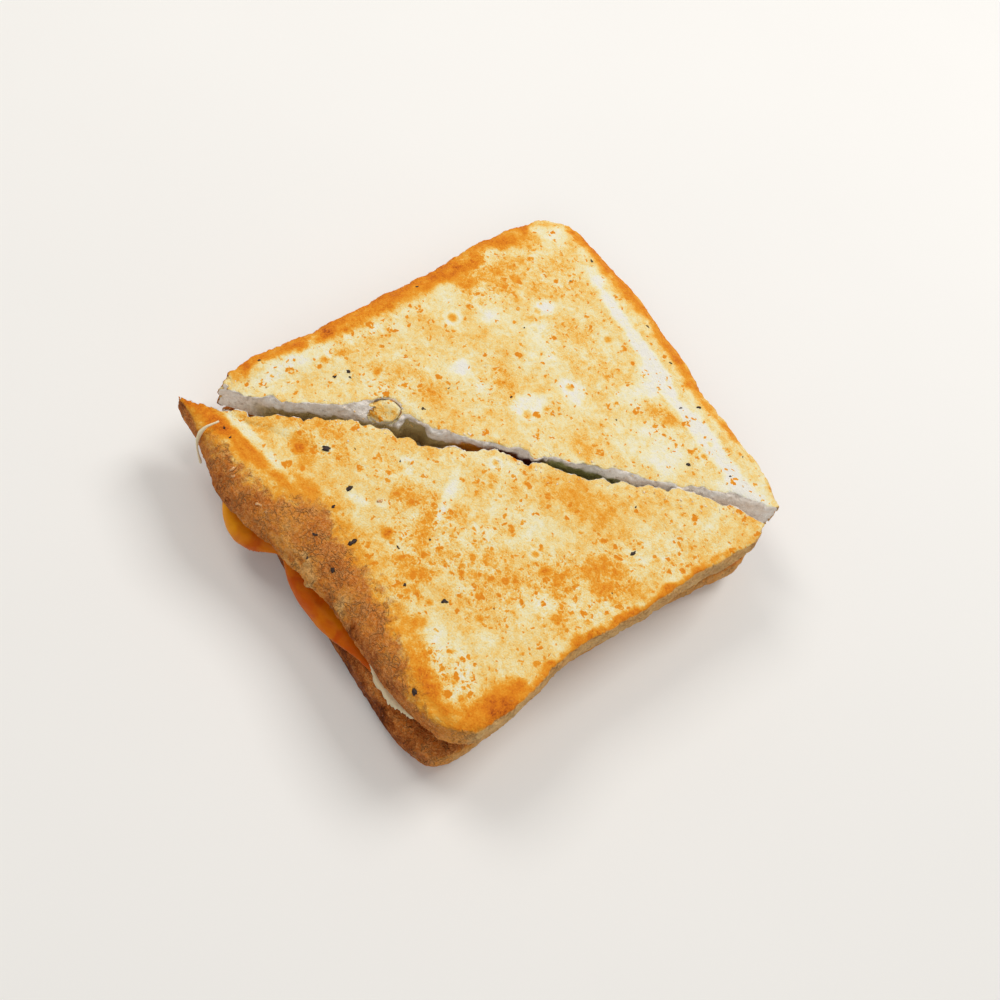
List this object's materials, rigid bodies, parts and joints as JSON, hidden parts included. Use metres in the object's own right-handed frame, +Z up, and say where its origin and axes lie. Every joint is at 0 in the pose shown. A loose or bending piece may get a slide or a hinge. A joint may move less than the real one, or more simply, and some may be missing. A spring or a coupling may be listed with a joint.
{
  "type": "grilled cheese sandwich",
  "caption": "Toasted bread sandwich with melted cheese, cut from corner to corner into halves that lie together, with cheese running out over the crust.",
  "frame": {"origin": "middle of the bounding box's footprint, on the face the sandwich rests on", "axes": "+X toward the pale flank of the bread, -Y toward the domed loaf-top crust with the cheese flaps, +Z up; the cut runs along x = y"},
  "size_m": [0.123, 0.14, 0.0273],
  "materials": {
    "toasted_bread": "matte",
    "yellow_cheese": "satin",
    "white_cheese": "satin"
  },
  "bodies": {
    "root": {"front_bottom_slice": "toasted_bread", "front_yellow_cheese": "yellow_cheese", "front_white_cheese": "white_cheese", "front_top_slice": "toasted_bread", "back_bottom_slice": "toasted_bread", "back_yellow_cheese": "yellow_cheese", "back_white_cheese": "white_cheese", "back_top_slice": "toasted_bread", "torn_chip": "toasted_bread", "cheese_string": "white_cheese"}
  },
  "joints": []
}
